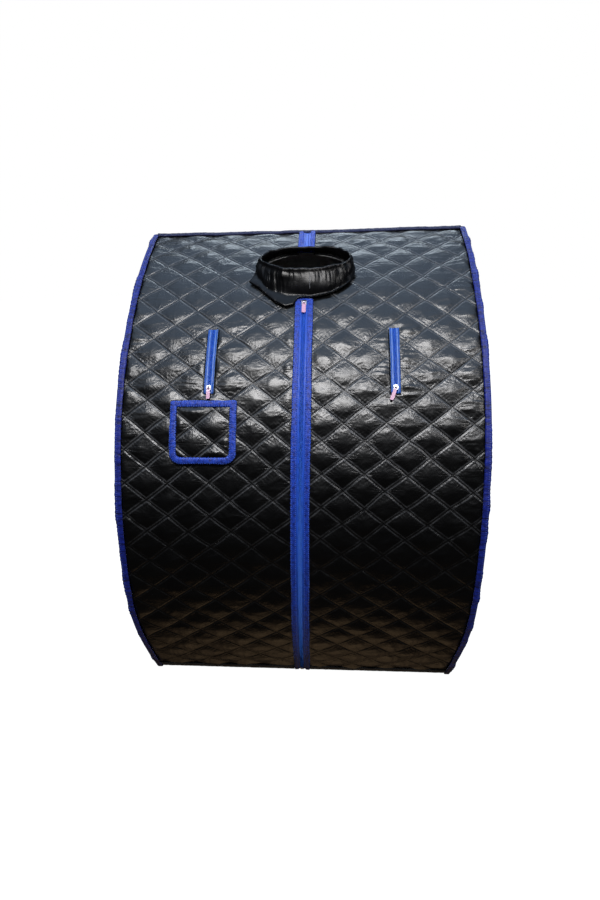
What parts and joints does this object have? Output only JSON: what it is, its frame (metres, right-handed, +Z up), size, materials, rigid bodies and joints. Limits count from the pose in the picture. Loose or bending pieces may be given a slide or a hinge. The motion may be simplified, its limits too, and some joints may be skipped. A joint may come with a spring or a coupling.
{
  "type": "portable steam sauna",
  "caption": "Freestanding one-person steam tent of quilted black satin with a gathered neck collar, a long front zipper, arm slits and a patch pocket.",
  "frame": {"origin": "centre of the bounding box's underside, on the floor", "axes": "+Z up, the front with the zipper faces -Y, X is the width; +X is on the right when facing the front"},
  "size_m": [0.7, 0.8, 0.9597],
  "materials": {
    "quilted_satin": "black satin quilted in diamonds, soft sheen",
    "collar_satin": "plain black satin, gathered, soft sheen",
    "silver_lining": "silver-coated lining cloth, satin",
    "blue_ribbon": "royal blue woven ribbon",
    "navy_ribbon": "dark navy woven ribbon",
    "zipper_tape": "azure woven zipper tape",
    "zipper_teeth": "azure nylon coil, slight sheen",
    "slider_metal": "polished plated zinc",
    "pull": "pale pink enamelled tab",
    "hem": "black woven tape",
    "elastic": "black covered elastic",
    "spring_steel": "bright spring-steel wire",
    "port_rubber": "black moulded rubber",
    "mat_cloth": "dark padded mat cloth"
  },
  "bodies": {
    "tent": {"arm_tape_left_inner": "zipper_tape", "arm_tape_left_outer": "zipper_tape", "arm_tape_right_inner": "zipper_tape", "arm_tape_right_outer": "zipper_tape", "arm_teeth_left_inner": "zipper_teeth", "arm_teeth_left_outer": "zipper_teeth", "arm_teeth_right_inner": "zipper_teeth", "arm_teeth_right_outer": "zipper_teeth", "collar_elastic": "elastic", "crown_ribbon_left": "blue_ribbon", "crown_ribbon_right": "blue_ribbon", "crown_tape": "zipper_tape", "edge_binding_left": "blue_ribbon", "edge_binding_right": "blue_ribbon", "floor_mat": "mat_cloth", "front_lining_left": "silver_lining", "front_lining_right": "silver_lining", "front_panel_left": "quilted_satin", "front_panel_right": "quilted_satin", "hoop_left": "spring_steel", "hoop_right": "spring_steel", "neck_collar": "collar_satin", "pocket_binding": "blue_ribbon", "pocket_panel": "quilted_satin", "rear_hem": "hem", "rear_lining": "silver_lining", "rear_panel": "quilted_satin", "side_lining_left": "silver_lining", "side_lining_right": "silver_lining", "side_panel_left": "quilted_satin", "side_panel_right": "quilted_satin", "steam_port_grommet": "port_rubber", "steam_port_washer": "port_rubber", "top_seam_binding": "navy_ribbon", "zipper_top_tab": "blue_ribbon"},
    "left_flap": {"front_flap_left": "quilted_satin", "flap_lining_left": "silver_lining", "front_hem_left": "hem", "zipper_ribbon_left": "blue_ribbon", "zipper_tape_left": "zipper_tape", "zipper_teeth_left": "zipper_teeth", "zipper_insertion_pin": "slider_metal"},
    "right_flap": {"front_flap_right": "quilted_satin", "flap_lining_right": "silver_lining", "front_hem_right": "hem", "zipper_ribbon_right": "blue_ribbon", "zipper_tape_right": "zipper_tape", "zipper_teeth_right": "zipper_teeth", "zipper_retainer_box": "slider_metal"},
    "main_slider": {"main_slider": "slider_metal"},
    "main_pull": {"main_pull": "pull"},
    "left_arm_slider": {"left_arm_slider": "slider_metal"},
    "left_arm_pull": {"left_arm_pull": "pull"},
    "right_arm_slider": {"right_arm_slider": "slider_metal"},
    "right_arm_pull": {"right_arm_pull": "pull"}
  },
  "joints": [
    {"name": "left_flap_open", "type": "hinge", "parent": "tent", "child": "left_flap", "pos_m": [-0.315, -0.26613, 0.00445], "axis": [-0.3398, -0.0616, -0.9385], "range_deg": [0, 105], "deforming": ["front_flap_left", "flap_lining_left", "front_hem_left", "zipper_ribbon_left", "zipper_tape_left", "zipper_teeth_left"]},
    {"name": "right_flap_open", "type": "hinge", "parent": "tent", "child": "right_flap", "pos_m": [0.315, -0.26613, 0.00445], "axis": [-0.3398, 0.0616, 0.9385], "range_deg": [0, 105], "deforming": ["front_flap_right", "flap_lining_right", "front_hem_right", "zipper_ribbon_right", "zipper_tape_right", "zipper_teeth_right"]},
    {"name": "main_slider_travel", "type": "hinge", "parent": "right_flap", "child": "main_slider", "pos_m": [0, 0.22, 0.38], "axis": [1, 0, 0], "range_deg": [0, 79]},
    {"name": "main_pull_swing", "type": "hinge", "parent": "main_slider", "child": "main_pull", "pos_m": [0, -0.22621, 0.81392], "axis": [1, 0, 0], "range_deg": [-160, 0]},
    {"name": "left_arm_slider_travel", "type": "hinge", "parent": "tent", "child": "left_arm_slider", "pos_m": [0, 0.22, 0.38], "axis": [1, 0, 0], "range_deg": [-10.6, 0]},
    {"name": "left_arm_pull_swing", "type": "hinge", "parent": "left_arm_slider", "child": "left_arm_pull", "pos_m": [-0.175, -0.32331, 0.68364], "axis": [1, 0, 0], "range_deg": [-160, 0]},
    {"name": "right_arm_slider_travel", "type": "hinge", "parent": "tent", "child": "right_arm_slider", "pos_m": [0, 0.22, 0.38], "axis": [1, 0, 0], "range_deg": [-10.6, 0]},
    {"name": "right_arm_pull_swing", "type": "hinge", "parent": "right_arm_slider", "child": "right_arm_pull", "pos_m": [0.175, -0.32331, 0.68364], "axis": [1, 0, 0], "range_deg": [-160, 0]}
  ]
}
